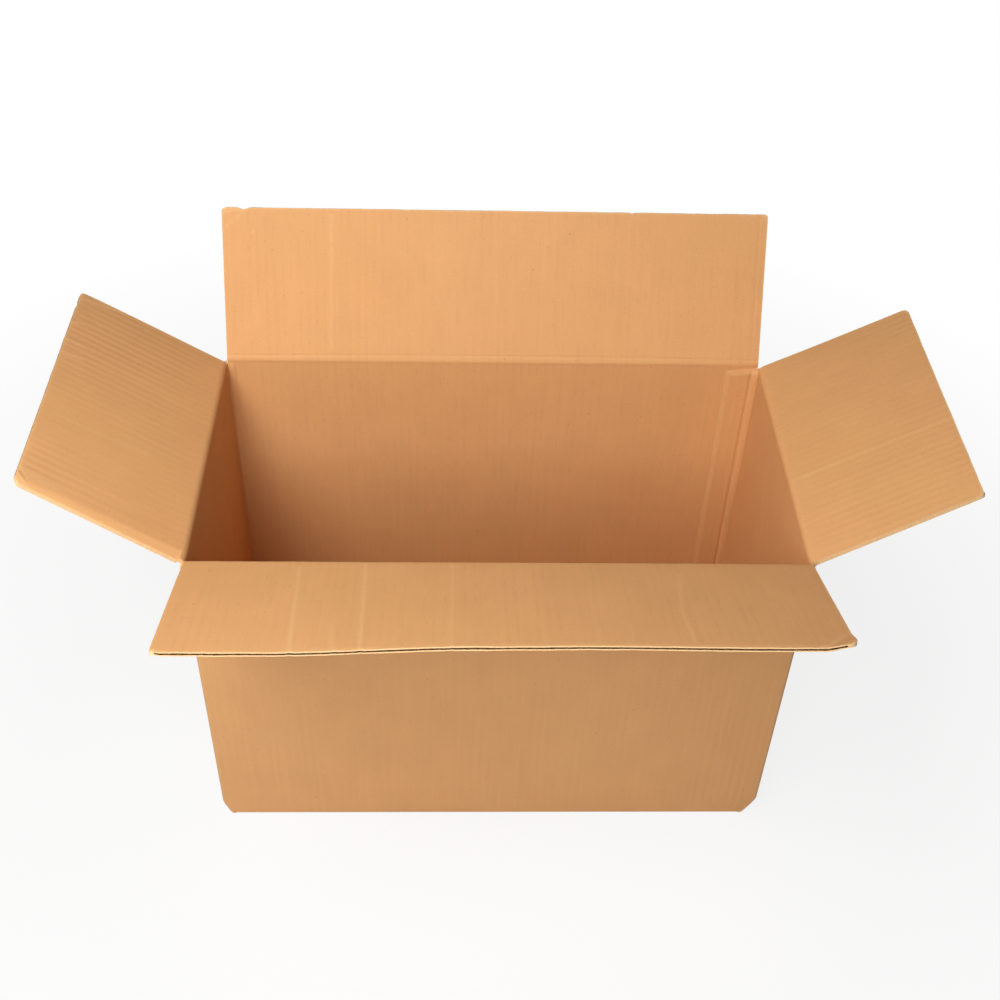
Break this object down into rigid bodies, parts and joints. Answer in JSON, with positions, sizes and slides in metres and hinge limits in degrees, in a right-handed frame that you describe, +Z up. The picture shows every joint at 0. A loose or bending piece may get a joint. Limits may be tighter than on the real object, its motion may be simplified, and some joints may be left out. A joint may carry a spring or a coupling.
{
  "type": "open cardboard box",
  "caption": "Open slotted shipping carton of brown corrugated board with its top flaps spread outwards.",
  "frame": {"origin": "centre of the underside of the set-up carton, on the face that it stands on", "axes": "+X along the long walls to the wall with the glued tab, +Y from the front wall to the back wall, +Z up"},
  "size_m": [0.7644, 0.4812, 0.4713],
  "materials": {
    "kraft_board": "matte",
    "paper_tape": "satin"
  },
  "bodies": {
    "carton": {"carton_body": "kraft_board", "bottom_tape": "paper_tape"},
    "front_flap": {"front_flap": "kraft_board"},
    "back_flap": {"back_flap": "kraft_board"},
    "left_flap": {"left_flap": "kraft_board"},
    "right_flap": {"right_flap": "kraft_board"}
  },
  "joints": [
    {"name": "front_crease", "type": "hinge", "parent": "carton", "child": "front_flap", "pos_m": [0, -0.14115, 0.345], "axis": [1, 0, 0], "range_deg": [-159.9, 106.7]},
    {"name": "back_crease", "type": "hinge", "parent": "carton", "child": "back_flap", "pos_m": [0, 0.14115, 0.345], "axis": [-1, 0, 0], "range_deg": [-117.5, 152.5]},
    {"name": "left_crease", "type": "hinge", "parent": "carton", "child": "left_flap", "pos_m": [-0.26015, 0, 0.3407], "axis": [0, -1, 0], "range_deg": [-145.8, 124.2]},
    {"name": "right_crease", "type": "hinge", "parent": "carton", "child": "right_flap", "pos_m": [0.26015, 0, 0.3407], "axis": [0, 1, 0], "range_deg": [-149.6, 120.4]}
  ]
}
